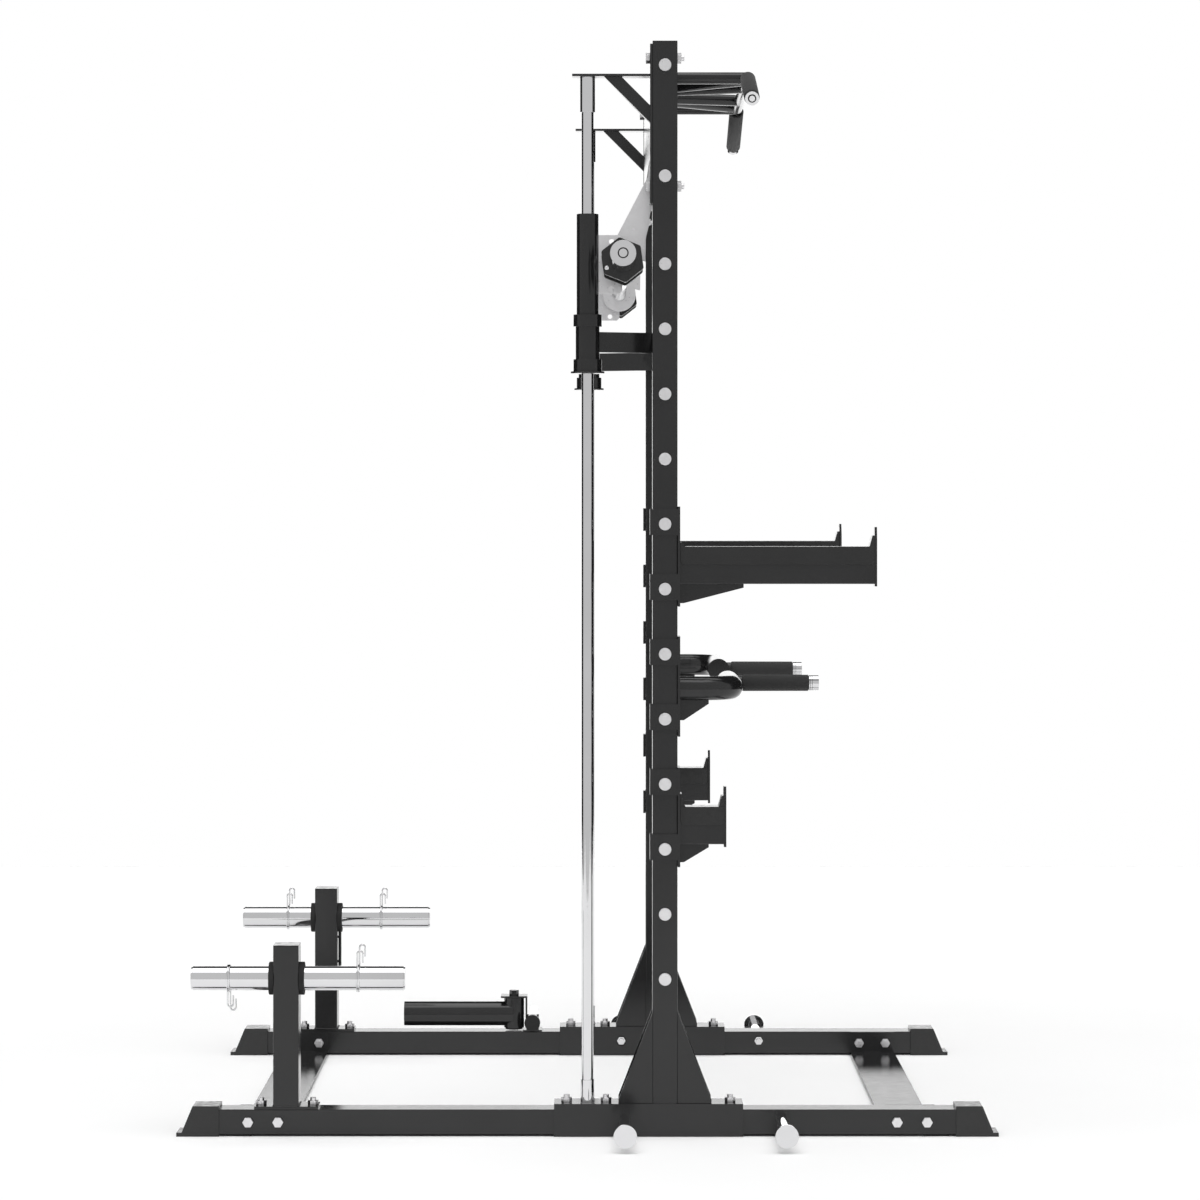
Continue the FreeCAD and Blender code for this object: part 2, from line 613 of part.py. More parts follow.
def storage_tube(side):
    """A plate tube right through a storage post, with a plug in each end."""
    y = f"{side} * side_y"
    tube = cut(rod("x", "store_rear", "store_front", y, "store_z", "store"),
               rod("x", "store_rear + 6", "store_front - 6", y, "store_z", "store - wall"))
    plugs = [rod("x", face, f"{face} + {way} * 3", y, "store_z", "store - 1.5")
             for face, way in (("store_rear", -1), ("store_front", 1))]
    return fuse(tube, *plugs)


def storage_flange(side, face, way):
    """A rubber buffer against the post."""
    y = f"{side} * side_y"
    return cut(rod("x", face, f"{face} + {way} * 10", y, "store_z", "store + 9"),
               rod("x", f"{face} - 11", f"{face} + 11", y, "store_z", "store + run"))


def spring_collar(side, x, way):
    """A wire collar: two close turns and two J-shaped handles, one shorter, that stand up or hang down."""
    y = f"{side} * side_y"
    ring = "store + collar_wire + gap * 2"
    pitch = "collar_wire * 0.92"
    pieces = [torus(f"{x} + {step} * {pitch}", y, "store_z", ring, "collar_wire", 360, TURNS["x"])
              for step in (-1, 1)]
    arch = FreeCAD.Rotation(FreeCAD.Vector(1, 0, 0), 90 * way)
    for step, shorter in ((-1, 1), (1, 0)):
        hand_y = f"{y} + {step} * store / 2"
        top = f"store_z + {way} * (store + collar_reach - {shorter} * collar_step)"
        near = f"{x} + {step} * {pitch}"
        far = f"{near} + 2 * collar_bend"
        pieces.append(rod("z", f"store_z + {way} * (store + 1)", top, near, hand_y, "collar_wire"))
        pieces.append(rod("z", f"{top} - {way} * collar_reach / 2", top, far, hand_y, "collar_wire"))
        pieces.append(torus(f"{near} + collar_bend", hand_y, top, "collar_bend", "collar_wire", 180, arch))
    return fuse(*pieces)


# ---- band pegs and landmine ----

def band_peg(side, x):
    """A round peg with an end disc, bolted to the outside of a runner."""
    face = f"{side} * ({OUTER})"
    body = rod("y", face, f"{face} + {side} * band_long", x, "band_z", "band_peg")
    end = f"{face} + {side} * band_long"
    disc = rod("y", end, f"{end} + {side} * 6", x, "band_z", "band_disc")
    pin = rod("y", face, f"{side} * ({INNER} - 14)", x, "band_z", "bolt_pin")
    nut = hexagon("y", f"{side} * ({INNER})", f"{side} * ({INNER} - bolt_head)", x, "band_z", "bolt_flat - 2")
    return fuse(body, disc, pin, nut)


def landmine_base():
    """Two lugs on the left runner that hold the landmine's pin."""
    deck = box("mine_pin_x - mine_deck", "mine_pin_x + mine_deck",
               "side_y - tube_deep / 2", "side_y + tube_deep / 2", RUNNER_TOP, f"{RUNNER_TOP} + wall")
    lugs = [box("mine_pin_x - mine_lug", "mine_pin_x + mine_lug",
                f"side_y + {s} * mine_shelf", f"side_y + {s} * (mine_shelf + plate)",
                RUNNER_TOP, "mine_pin_z + mine_pin + 1") for s in (-1, 1)]
    bore = rod("y", "side_y - tube_wide", "side_y + tube_wide", "mine_pin_x", "mine_pin_z", "mine_pin + run")
    return cut(fuse(deck, *lugs), bore)


def landmine_yoke():
    """A knuckle on the pin, a leg up from it and a shelf with the swivel's bolt."""
    leg_front = "mine_pin_x - mine_pin - 1"
    leg_rear = f"{leg_front} - 4"
    top = "mine_shelf_z + 4"
    knuckle = rod("y", "side_y - mine_shelf + 4", "side_y + mine_shelf - 4", "mine_pin_x", "mine_pin_z",
                  "mine_knuckle")
    leg = box(leg_rear, leg_front, "side_y - mine_knuckle", "side_y + mine_knuckle", "mine_pin_z - 4", top)
    shelf = box("mine_swivel_x - 30", leg_front, "side_y - mine_shelf", "side_y + mine_shelf",
                "mine_shelf_z", top)
    post = rod("z", "mine_bottom", "mine_shelf_z", "mine_swivel_x", "side_y", "mine_post")
    head = hexagon("z", top, f"{top} + mine_post", "mine_swivel_x", "side_y", "bolt_flat")
    washer = rod("z", "mine_bottom - wall", "mine_bottom", "mine_swivel_x", "side_y", "mine_hub - wall")
    bore = rod("y", "side_y - tube_wide", "side_y + tube_wide", "mine_pin_x", "mine_pin_z", "mine_pin + run")
    return cut(fuse(knuckle, leg, shelf, post, head, washer), bore)


def landmine_sleeve():
    """A swivel tube with the bar socket welded to it."""
    hub = rod("z", "mine_bottom + 0.5", "mine_shelf_z - 0.5", "mine_swivel_x", "side_y", "mine_hub")
    socket = rod("x", "mine_rear", "mine_swivel_x", "side_y", "mine_z", "mine_socket")
    hollow = rod("x", "mine_rear - 1", "mine_bore_end", "side_y", "mine_z", "mine_bore")
    bore = rod("z", "mine_bottom - 10", "mine_shelf_z + 10", "mine_swivel_x", "side_y", "mine_post + run")
    return cut(fuse(hub, socket), hollow, bore)


# ---- the guided barbell ----

def lifting_bar():
    """The round bar that runs from sleeve to sleeve."""
    return rod("y", "-bar_end", "bar_end", "bar_x", "bar_z", "shaft")


HOOK_LEAN = 4.5


def bar_hook(side):
    """A plate on the bar that tapers up to a notched head. The mouth reaches below the peg, so that the hook
    swings on freely, and it leans back from the pegs at rest."""
    y0, y1 = f"{side} * (hook_y - plate / 2)", f"{side} * (hook_y + plate / 2)"
    edge = [(48, 10), (48.5, 55), (61, 128), (68, 158), (77, 163), (77, 205), (72, 210), (60, 210), (54, 200),
            (53, 182), (42.4, 161.5), (-7, 67), (-25, 30)]
    blade = slab("y", [(f"bar_x + {x}", f"bar_z + {z}") for x, z in edge], y0, y1)
    eye = rod("y", y0, y1, "bar_x", "bar_z", "eye")
    lean = math.radians(HOOK_LEAN)
    reach_x, reach_z = value("upright_x - bar_x"), value("peg_high - bar_z")
    centre_x = f"bar_x + {reach_x * math.cos(lean) - reach_z * math.sin(lean):.3f}"
    centre_z = f"bar_z + {reach_x * math.sin(lean) + reach_z * math.cos(lean):.3f}"
    notch = rod("y", "-side_y", "side_y", centre_x, centre_z, "peg_pin + 1")
    mouth = box(centre_x, f"{centre_x} + 30", "-side_y", "side_y", f"{centre_z} - peg_pin - mouth_drop",
                f"{centre_z} + peg_pin + 1")
    bore = rod("y", "-side_y", "side_y", "bar_x", "bar_z", "shaft + run")
    return cut(fuse(blade, eye), notch, mouth, bore)


def carriage_tube(side):
    """The tube that slides on a guide rod."""
    y = f"{side} * side_y"
    return cut(rod("z", "carriage_low", "carriage_high", 0, y, "carriage"),
               rod("z", "carriage_low - 1", "carriage_high + 1", 0, y, "bush + 1"))


def carriage_plate(side):
    """A plate with a boss for the bar, welded to the front of a carriage tube."""
    y = f"{side} * side_y"
    rear, front, bottom, top = "plate_rear", "bar_x + plate_front", "bar_z - plate_low", "bar_z + plate_high"
    neck = f"{front} - plate_step"
    corners = [(rear, bottom), (f"{neck} - plate_chamfer", bottom), (neck, f"{bottom} + plate_chamfer"),
               (neck, f"{bottom} + plate_cut"), (front, "bar_z - plate_nose"), (front, "bar_z + plate_nose"),
               (neck, f"{top} - plate_cut"), (neck, f"{top} - plate_chamfer"),
               (f"{neck} - plate_chamfer", top), (rear, top)]
    web = slab("y", corners, f"{y} - plate / 2", f"{y} + plate / 2")
    boss = rod("y", f"{y} + {side} * boss_out", f"{y} - {side} * boss_in", "bar_x", "bar_z", "boss")
    holes = [rod("y", f"{y} - tube_wide", f"{y} + tube_wide", "bar_x", "bar_z", "shaft + run"),
             rod("z", "carriage_low", "carriage_high", 0, y, "carriage")]
    holes += [rod("y", f"{y} - plate", f"{y} + plate", "plate_hole_x", z, "plate_hole")
              for z in (f"{bottom} + 9", f"{top} - 13")]
    return cut(fuse(web, boss), *holes)


def carriage_bush(side):
    """A plain bearing inside a carriage tube."""
    y = f"{side} * side_y"
    return cut(rod("z", "carriage_low", "carriage_high - 2", 0, y, "bush + 1"),
               rod("z", "carriage_low - 1", "carriage_high", 0, y, "rod + run"))


def bar_sleeve():
    """A plate sleeve with a closed end and its bolt, for the right side."""
    plates = rod("y", "-(collar_out + collar_thick)", "-(sleeve_end - sleeve_cap)", "bar_x", "bar_z",
                 "sleeve")
    seats = rod("y", "-sleeve_in", "-(collar_out + collar_thick)", "bar_x", "bar_z", "sleeve_seat")
    cap = rod("y", "-(sleeve_end - sleeve_cap)", "-sleeve_end", "bar_x", "bar_z", "sleeve - 1")
    groove = cut(rod("y", "-(sleeve_end - 3)", "-(sleeve_end + 1)", "bar_x", "bar_z", "end_ring"),
                 rod("y", "-(sleeve_end - 4)", "-(sleeve_end + 2)", "bar_x", "bar_z", "end_bolt"))
    bore = rod("y", "-(sleeve_in - 1)", "-(bar_end + 0.5)", "bar_x", "bar_z", "shaft + run")
    return cut(fuse(plates, seats, cap), bore, groove)


def bar_collar(start, thick):
    """A rounded hexagonal flange round the sleeve, for the right side."""
    end = f"{start} - {thick}"
    star = doc.addObject("Part::MultiCommon", "Rounded")
    star.Shapes = [hexagon("y", start, end, "bar_x", "bar_z", "collar_flat", 22),
                   rod("y", start, end, "bar_x", "bar_z", "collar_round")]
    return cut(star, rod("y", 0, "-sleeve_end", "bar_x", "bar_z", "sleeve_seat + run"))


def stop_bush():
    """The stop's inner sleeve, which slides on the rod, with the flange that carries the stop."""
    y = "-side_y"
    sleeve = rod("z", "stop_low", "stop_high - 1", 0, y, "bush")
    flange = rod("z", "stop_low - 4.3", "stop_low - gap", 0, y, "stop_flange")
    neck = rod("z", "stop_low - gap", "stop_low", 0, y, "bush")
    return cut(fuse(sleeve, neck, flange), rod("z", "stop_low - 6", "stop_high", 0, y, "rod + run"))


def stop_body():
    """The turning part of a stop: two rings and a bent arm with a hole for a peg."""
    y = "-side_y"
    tube = rod("z", "stop_low", "stop_high", 0, y, "stop")
    rings = [rod("z", bottom, f"{bottom} + stop_ring_high", 0, y, "stop_ring")
             for bottom in ("stop_low", "stop_high - stop_ring_high")]
    near, far = "stop_y - stop_half", "stop_y + stop_half"
    bent = [("stop_root", f"{y} + 8"), ("stop_elbow", near), ("stop_tip", near), ("stop_tip", far),
            ("stop_elbow - 1", far), ("stop_root", f"{y} + 13.5")]
    arm = slab("z", bent, "stop_arm_low", "stop_arm_high")
    shoulder = "ear_high - ear_chamfer"
    ear = slab("y", [("ear_rear", "stop_arm_low"), ("stop_tip", "stop_arm_low"), ("stop_tip", shoulder),
                     ("stop_tip - ear_chamfer", "ear_high"), ("ear_rear + ear_chamfer", "ear_high"),
                     ("ear_rear", shoulder)], near, far)
    hole = rod("y", "stop_y - tube_wide / 2", "stop_y + tube_wide / 2", "upright_x - 1.5",
               "peg_first + peg_pitch * 10", "peg_pin + 3.5")
    bore = rod("z", "stop_low - 1", "stop_high + 1", 0, y, "bush + run")
    return cut(fuse(tube, *rings, arm, ear), bore, hole)


# ---- every sub-part ----

def build_frame():
    """All that stays put."""
    sides, ends = SIDES.values(), (-1, 1)
    for name, side in SIDES.items():
        node(f"{name}_runner", runner(side))
        node(f"{name}_upright", upright(side))
    node("runner_feet", group(*[foot(s, e) for s in sides for e in ends]))
    node("floor_pads", group(*[pad(s, e) for s in sides for e in ends]))
    node("cross_plates", group(*[cross_plate(e) for e in ends]))
    node("cross_plate_bolts", group(*[cross_bolt(s, x) for s in sides for x in cross_bolt_places()]))
    base_top = f"{RUNNER_TOP} + post_base"
    node("runner_bolts", group(*[floor_bolt(s, x, "saddle_top") for s in sides for x in SADDLE_BOLTS],
                               *[floor_bolt(s, x, base_top) for s in sides for x in POST_BOLTS]))
    node("hanging_pegs", group(*[peg(s, z) for s in sides for z in peg_heights()]))
    node("tube_caps", group(*[tube_cap(s, UPRIGHT_REAR, UPRIGHT_FRONT, "upright_top") for s in sides],
                            *[tube_cap(s, "post_rear", "post_front", "post_top") for s in sides]))
    node("guide_rods", group(*[rod("z", "saddle_top", "rod_top", 0, f"{s} * side_y", "rod") for s in sides]))
    node("rod_sockets", group(*[rod_socket(s, "saddle_top", "foot_socket_top", "foot_socket") for s in sides],
                              *[rod_socket(s, "socket_low", "rod_top", "socket") for s in sides]))
    node("top_brackets", group(*[top_bracket(s) for s in sides]))
    node("bracket_bolts", group(*[bracket_bolt(s, z) for s in sides for z in ("bolt_low", "bolt_high")]))
    node("head_beam", head_beam())
    node("back_panel", back_panel())
    node("pull_up_frame", pull_up_frame())
    node("pull_up_grips", group(*[pull_up_grip(s) for s in sides]))
    node("pull_up_caps", group(*[pull_up_cap(s) for s in sides]))
    node("storage_posts", group(*[storage_post(s) for s in sides]))
    node("storage_tubes", group(*[storage_tube(s) for s in sides]))
    node("storage_buffers", group(*[storage_flange(s, face, way) for s in sides
                                    for face, way in (("post_rear", -1), ("post_front", 1))]))
    node("band_pegs", group(*[band_peg(s, x) for s in sides for x in BAND_PLACES]))
    node("landmine_base", landmine_base())
    knob_y = f"{INNER} + 1"
    node("landmine_pin", rod("y", knob_y, "mine_pin_end", "mine_pin_x", "mine_pin_z", "mine_pin"))
    node("landmine_knob", rod("y", f"{knob_y} - mine_post", knob_y, "mine_pin_x", "mine_pin_z", "mine_knob"))


def build_attachments():
    """What is lifted off the pegs, and the collars of the storage tubes."""
    both("spotter_arm", spotter_arm())
    both("spotter_liner", liner("arm_front", "arm_high", 15))
    both("dip_bar", dip_bar())
    both("dip_handle", dip_handle())
    both("dip_grip", dip_grip())
    both("j_hook", j_hook())
    both("j_hook_liner", liner("hook_front", "hook_high", "liner_lift + 4"))
    node("right_rear_spring_collar", spring_collar(RIGHT, -720, -1))
    node("right_front_spring_collar", spring_collar(RIGHT, -460, 1))
    node("left_rear_spring_collar", spring_collar(LEFT, -692, 1))
    node("left_front_spring_collar", spring_collar(LEFT, -478, 1))
    node("landmine_yoke", landmine_yoke())
    node("landmine_sleeve", landmine_sleeve())


def build_barbell():
    """The bar, its carriages and the stops."""
    node("lifting_bar", lifting_bar())
    node("bar_hooks", group(*[bar_hook(s) for s in SIDES.values()]))
    both("bar_sleeve", bar_sleeve())
    both("bar_collars", group(bar_collar("-sleeve_in", "collar_in"),
                              bar_collar("-collar_out", "collar_thick")))
    node("carriage_tubes", group(*[carriage_tube(s) for s in SIDES.values()]))
    node("carriage_plates", group(*[carriage_plate(s) for s in SIDES.values()]))
    node("carriage_bushes", group(*[carriage_bush(s) for s in SIDES.values()]))
    both("stop_bush", stop_bush())
    both("stop_body", stop_body())


build_frame()
build_attachments()
build_barbell()
doc.recompute()

for thing in doc.Objects:
    if {"Invalid", "Error"} & set(thing.State):
        raise RuntimeError(f"{thing.Name} ({thing.Label}) failed")
os.makedirs("parts", exist_ok=True)
for label, thing in nodes.items():
    shape = thing.Shape
    if shape.isNull() or not shape.isValid():
        raise RuntimeError(f"{label} has no valid shape")
    print(f"{label}: {len(shape.Solids)} solids, {shape.Volume / 1000:.1f} cm3")
for label, thing in nodes.items():
    thing.Shape.exportStep(f"parts/{label}.step")
print(len(nodes), "sub-parts")
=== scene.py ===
"""Looks for the half rack: materials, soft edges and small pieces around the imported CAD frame.

Metres, in the CAD frame: +X is the front, +Y the left side and +Z up. The pieces made here are drawn in mm.
"""
import json
import math

import bpy
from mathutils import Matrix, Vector


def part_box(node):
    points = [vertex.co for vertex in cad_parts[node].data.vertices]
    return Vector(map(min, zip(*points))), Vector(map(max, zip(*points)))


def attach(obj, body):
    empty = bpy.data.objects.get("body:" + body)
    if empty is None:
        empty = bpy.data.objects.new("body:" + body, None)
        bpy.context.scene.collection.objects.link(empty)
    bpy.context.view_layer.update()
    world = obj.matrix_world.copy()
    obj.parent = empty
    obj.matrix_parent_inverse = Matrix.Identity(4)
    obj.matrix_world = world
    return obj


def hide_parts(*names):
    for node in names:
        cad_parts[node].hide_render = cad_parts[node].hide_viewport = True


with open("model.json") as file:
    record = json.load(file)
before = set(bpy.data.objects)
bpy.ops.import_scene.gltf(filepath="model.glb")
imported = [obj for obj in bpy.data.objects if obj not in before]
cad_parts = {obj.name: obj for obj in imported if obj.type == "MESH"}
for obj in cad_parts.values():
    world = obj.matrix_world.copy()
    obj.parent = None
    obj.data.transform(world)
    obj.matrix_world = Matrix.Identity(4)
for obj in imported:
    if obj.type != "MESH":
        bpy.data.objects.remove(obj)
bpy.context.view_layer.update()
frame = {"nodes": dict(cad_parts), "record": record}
NODES = frame["nodes"]
SLOTS = {part["node"]: part["material_slot"] for part in frame["record"]["subparts"]}
MM = 0.001
SIDES = {"right": -1, "left": 1}

# Where the CAD's pieces are, in mm.
SIDE_Y = 555
TUBE_HALF = 30
UPRIGHT_X = (131, 179)
DECK = 66
POST_X = (-629, -578)
POST_BASE = 60
BAR_AXIS = (69, 1744)
SLEEVE_END = 940
PULL_UP_BEND = (331, 308, 2148)
PULL_UP_TIP = (331, 540, 2081)


class Graph:
    """A tree of shader nodes and short ways to add to it."""

    def __init__(self, tree):
        self.tree = tree

    def add(self, kind, links=None, values=None, **settings):
        """A node with its settings, its constant inputs and its linked inputs."""
        made = self.tree.nodes.new(kind)
        for key, setting in settings.items():
            setattr(made, key, setting)
        for key, value in (values or {}).items():
            made.inputs[key].default_value = value
        for key, source in (links or {}).items():
            self.tree.links.new(source, made.inputs[key])
        return made

    def math(self, operation, first, second=None):
        """A Math node's result; first and second are sockets or numbers."""
        made = self.add("ShaderNodeMath", operation=operation)
        for place, given in enumerate((first, second)):
            if isinstance(given, (int, float)):
                made.inputs[place].default_value = given
            elif given is not None:
                self.tree.links.new(given, made.inputs[place])
        return made.outputs[0]

    def spread(self, source, low, high, near=0.3, far=0.7, shape="LINEAR"):
        """A value's near..far range stretched over low..high."""
        return self.add("ShaderNodeMapRange", {"Value": source},
                        {"From Min": near, "From Max": far, "To Min": low, "To Max": high},
                        interpolation_type=shape).outputs[0]


# ---- materials ----

class Surface(Graph):
    """A material built from nodes, with the Principled shader as its only surface."""

    def __init__(self, name, roughness, metallic=0.0, specular=0.5, sheen=0.0):
        self.material = bpy.data.materials.new(name)
        self.material.use_nodes = True
        super().__init__(self.material.node_tree)
        self.shader = self.tree.nodes["Principled BSDF"]
        for socket, value in (("Roughness", roughness), ("Metallic", metallic),
                              ("Specular IOR Level", specular), ("Sheen Weight", sheen)):
            self.shader.inputs[socket].default_value = value
        self.place = self.add("ShaderNodeTexCoord").outputs["Object"]

    def feed(self, socket, source):
        self.tree.links.new(source, self.shader.inputs[socket])

    def noise(self, scale, detail=2.0):
        """Noise of a scale per metre."""
        return self.add("ShaderNodeTexNoise", {"Vector": self.place},
                        {"Scale": scale, "Detail": detail}).outputs["Fac"]

    def cells(self, scale):
        """Distance to the nearest of scattered points, by their number per metre."""
        return self.add("ShaderNodeTexVoronoi", {"Vector": self.place}, {"Scale": scale}).outputs["Distance"]

    def tint(self, source, dark, light, start=0.3, end=0.7):
        """Base colour that runs from dark to light as the source goes from start to end."""
        made = self.add("ShaderNodeValToRGB", {"Fac": source})
        for element, position, colour in zip(made.color_ramp.elements, (start, end), (dark, light)):
            element.position = position
            element.color = (*colour, 1)
        self.feed("Base Color", made.outputs[0])

    def polish(self, source, low, high, near=0.3, far=0.7):
        """Roughness that follows the source."""
        self.feed("Roughness", self.spread(source, low, high, near, far))

    def bump(self, height, depth, strength):
        """Bumps of a depth in metres, on top of any added before."""
        links = {"Height": height}
        before = self.shader.inputs["Normal"].links
        if before:
            links["Normal"] = before[0].from_socket
        made = self.add("ShaderNodeBump", links, {"Strength": strength, "Distance": depth})
        self.feed("Normal", made.outputs[0])


def grey(value, blue=1.0):
    """A near-neutral colour, cooler where blue is over 1."""
    return (value, value, value * blue)


def black_steel():
    """Satin black powder coat with a fine orange peel."""
    made = Surface("black_powder_coat", roughness=0.2)
    made.tint(made.noise(9, 3), grey(0.0098, 1.03), grey(0.0135, 1.03), end=0.72)
    made.polish(made.noise(60, 3), 0.15, 0.175)
    made.bump(made.noise(420), 0.00010, 0.07)
    return made.material


def chrome():
    """Bright chrome plate with a faint polishing haze."""
    made = Surface("chrome_plate", roughness=0.07, metallic=1.0)
    made.tint(made.noise(5), grey(0.70, 1.01), grey(0.76, 1.015))
    made.polish(made.noise(140, 4), 0.025, 0.07)
    made.bump(made.noise(30), 0.0002, 0.06)
    return made.material


KNURLS_ROUND = 60
KNURLS_PER_METRE = 640.0
HANDS = (0.11, 0.47)


def knurled():
    """The bar's plate, cut with fine diamonds where the hands go."""
    made = Surface("knurled_chrome", roughness=0.2, metallic=1.0)
    made.tint(made.noise(5), grey(0.62, 1.01), grey(0.70, 1.015))
    x, y, z = made.add("ShaderNodeSeparateXYZ", {"Vector": made.place}).outputs
    turn = made.math("ARCTAN2", made.math("SUBTRACT", z, BAR_AXIS[1] * MM),
                     made.math("SUBTRACT", x, BAR_AXIS[0] * MM))
    around = made.math("MULTIPLY", turn, KNURLS_ROUND / math.tau)
    along = made.math("MULTIPLY", y, KNURLS_PER_METRE)
    ridges = made.math("MINIMUM", made.math("PINGPONG", made.math("ADD", around, along), 0.5),
                       made.math("PINGPONG", made.math("SUBTRACT", around, along), 0.5))
    reach = made.math("ABSOLUTE", y)
    hands = made.math("MULTIPLY", made.math("GREATER_THAN", reach, HANDS[0]),
                      made.math("LESS_THAN", reach, HANDS[1]))
    made.polish(hands, 0.07, 0.34, 0.0, 1.0)
    made.bump(made.math("MULTIPLY", ridges, hands), 0.0006, 0.8)
    return made.material


def zinc():
    """Clear zinc plate: pale, satin and faintly mottled."""
    made = Surface("zinc_plate", roughness=0.34, metallic=1.0)
    made.tint(made.noise(70, 4), (0.775, 0.77, 0.78), (0.815, 0.81, 0.82))
    made.polish(made.noise(180, 4), 0.27, 0.42)
    made.bump(made.noise(900, 3), 0.00004, 0.4)
    return made.material


def plastic(name, tone, roughness, grain):
    """Moulded plastic with a spark-eroded grain."""
    made = Surface(name, roughness=roughness)
    made.tint(made.noise(14, 3), grey(tone * 0.86), grey(tone * 1.1))
    made.polish(made.noise(90, 3), roughness - 0.05, roughness + 0.07)
    made.bump(made.noise(grain), 0.00004, 0.25)
    return made.material


def rubber():
    """Matt black rubber with fine dust-like mottling."""
    made = Surface("black_rubber", roughness=0.72, specular=0.35)
    made.tint(made.noise(40, 5), grey(0.010), grey(0.019), 0.35, 0.75)
    made.bump(made.noise(1200, 3), 0.00009, 0.5)
    return made.material


def foam():
    """Closed-cell foam: soft sheen and small pores."""
    made = Surface("foam_grip", roughness=0.86, specular=0.25, sheen=0.15)
    # The pores' hollows are painted darker than the cells' tops: painted shade in the pores.
    made.tint(made.cells(700), grey(0.014), grey(0.034), 0.05, 0.45)
    made.bump(made.cells(700), 0.00035, 0.6)
    made.bump(made.noise(60, 3), 0.0006, 0.25)
    return made.material


MATERIALS = {
    "black_steel": black_steel(), "chrome": chrome(), "zinc": zinc(),
    "black_plastic": plastic("black_plastic", 0.012, 0.18, 1700),
    "bush_plastic": plastic("bush_plastic", 0.62, 0.38, 2400),
    "rubber": rubber(), "foam": foam(), "knurled": knurled(),
}


# ---- the carried-over CAD nodes ----

FINISH = {"lifting_bar": "knurled"}
SOFT_EDGE = {"black_steel": 0.9, "chrome": 0.35, "zinc": 0.6, "black_plastic": 0.8, "bush_plastic": 0.4,
             "rubber": 0.8, "foam": 1.2}
PLAIN = ("spring_collar", "guide_rods", "lifting_bar")
MERGE = 0.02
FLAT_ANGLE = 0.4
EDGE_ANGLE = 38
EVEN_WEIGHT = 60


def dress(name, piece):
    """Gives a CAD node its material and, unless it is plain, rounds its sharp edges."""
    slot = SLOTS[name]
    piece.data.materials.clear()
    piece.data.materials.append(MATERIALS[FINISH.get(name, slot)])
    if name.endswith(PLAIN):
        return
    weld = piece.modifiers.new("Weld", "WELD")
    weld.merge_threshold = MERGE * MM
    flat = piece.modifiers.new("Flat", "DECIMATE")
    flat.decimate_type = "DISSOLVE"
    flat.angle_limit = math.radians(FLAT_ANGLE)
    edge = piece.modifiers.new("Edge", "BEVEL")
    edge.width = SOFT_EDGE[slot] * MM
    edge.segments = 2
    edge.limit_method = "ANGLE"
    edge.angle_limit = math.radians(EDGE_ANGLE)
    edge.miter_outer = "MITER_ARC"
    even = piece.modifiers.new("Even", "WEIGHTED_NORMAL")
    even.keep_sharp = False
    even.weight = EVEN_WEIGHT


for name, piece in NODES.items():
    dress(name, piece)


# ---- pieces made here ----

SHARP_ANGLE = 32
CORNER_STEPS = 6


def middle(node):
    """The centre of a CAD node's box in mm."""
    low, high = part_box(node)
    return [(low[axis] + high[axis]) / 2 / MM for axis in range(3)]


def axes(way):
    """A direction's unit vector and two more across it."""
    way = Vector(way).normalized()
    across = way.orthogonal().normalized()
    return way, across, way.cross(across)


def circle(centre, across, other, radius, facets):
    """Points round a centre."""
    turns = [math.tau * facet / facets for facet in range(facets)]
    return [centre + (across * math.cos(turn) + other * math.sin(turn)) * radius for turn in turns]


def strip(near, far, facets):
    """The faces between two rings of points, given by their first numbers."""
    return [(near + facet, near + (facet + 1) % facets, far + (facet + 1) % facets, far + facet)
            for facet in range(facets)]


def added(name, slot, body, points, faces):
    """An object from points in mm, in its material and riding on its body."""
    mesh = bpy.data.meshes.new(name)
    mesh.from_pydata([Vector(point) * MM for point in points], [], faces)
    mesh.materials.append(MATERIALS[slot])
    made = bpy.data.objects.new(name, mesh)
    bpy.context.scene.collection.objects.link(made)
    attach(made, body)
    return made


def smooth(made):
    """Shades every face smooth."""
    made.data.polygons.foreach_set("use_smooth", [True] * len(made.data.polygons))


def turned(name, slot, body, start, way, profile, facets=64, closed=False):
    """A turned piece from pairs of distance along the line and radius in mm. Closed, it is a sleeve."""
    way, across, other = axes(way)
    points = []
    for along, radius in profile:
        points += circle(Vector(start) + way * along, across, other, radius, facets)
    last = len(profile) if closed else len(profile) - 1
    faces = []
    for row in range(last):
        faces += strip(row * facets, (row + 1) % len(profile) * facets, facets)
    if not closed:
        faces += [tuple(reversed(range(facets))), tuple(range(last * facets, (last + 1) * facets))]
    made = added(name, slot, body, points, faces)
    smooth(made)
    made.data.set_sharp_from_angle(angle=math.radians(SHARP_ANGLE))
    return made


def ring(inner, outer, long):
    """The profile of a plain ring."""
    return [(0, inner), (0, outer), (long, outer), (long, inner)]


def sleeve(length, outer, inner, corner):
    """A tube's profile with rounded outer corners."""
    points = [(0, inner), (0, outer - corner)]
    for end, first in ((corner, 180), (length - corner, 90)):
        for step in range(1, CORNER_STEPS):
            turn = math.radians(first - step * 90 / (CORNER_STEPS - 1))
            points.append((end + corner * math.cos(turn), outer - corner + corner * math.sin(turn)))
    return points + [(length, inner)]


SKIRT_DEPTHS = (25.1, 27.4)
SKIRT_INSET = 0.2
SKIRT_RISE = 5.9
SKIRT_DROP = 30
SKIRT_CORNER = (5, 6)
SKIRT_EDGE = 0.6


